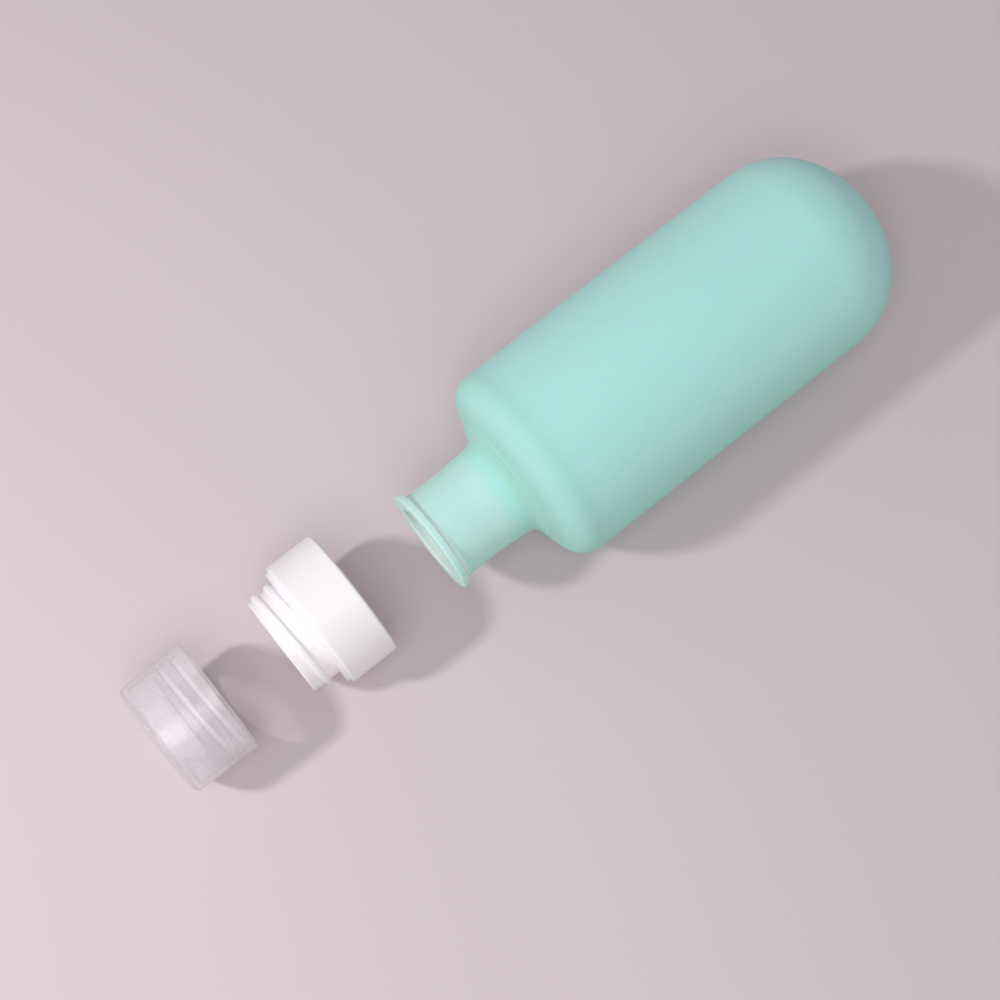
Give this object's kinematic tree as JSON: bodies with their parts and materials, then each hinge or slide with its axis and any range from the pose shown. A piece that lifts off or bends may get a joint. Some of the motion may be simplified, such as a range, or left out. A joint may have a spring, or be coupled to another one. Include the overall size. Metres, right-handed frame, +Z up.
{
  "type": "travel silicone bottle",
  "caption": "Soft round travel bottle lying on its side with its threaded neck collar and clear screw cap taken off in line, ready to be pushed on and screwed shut.",
  "frame": {"origin": "centre of the parts' bounding box, on the table they lie on", "axes": "+Z up from the table; +X along the row of pieces, from the cap to the bottle's dome"},
  "size_m": [0.1854, 0.045, 0.0448],
  "materials": {
    "mint_silicone": "satin, slightly translucent",
    "white_plastic": "satin",
    "clear_plastic": "clear, glossy",
    "milky_plastic": "milky"
  },
  "bodies": {
    "bottle": {"silicone_bottle": "mint_silicone"},
    "collar": {"threaded_collar": "white_plastic"},
    "plug": {"seal_plug": "milky_plastic"},
    "cap": {"screw_cap": "clear_plastic"}
  },
  "joints": [
    {"name": "collar_slide", "type": "slide", "parent": "bottle", "child": "collar", "axis": [0.9786, -0.0812, 0.1891], "range_m": [0, 0.03939], "deforming": ["silicone_bottle"]},
    {"name": "cap_advance", "type": "slide", "parent": "collar", "child": "plug", "axis": [0.998, -0.0225, 0.0584], "range_m": [0, 0.02227]},
    {"name": "cap_turn", "type": "hinge", "parent": "plug", "child": "cap", "pos_m": [-0.09266, 0.0037, 0.01355], "axis": [1, 0, 0], "range_deg": [0, 2520]}
  ],
  "couplings": [
    {"joint": "cap_advance", "follows": "cap_turn", "m_per_rad": 0.00050631}
  ]
}
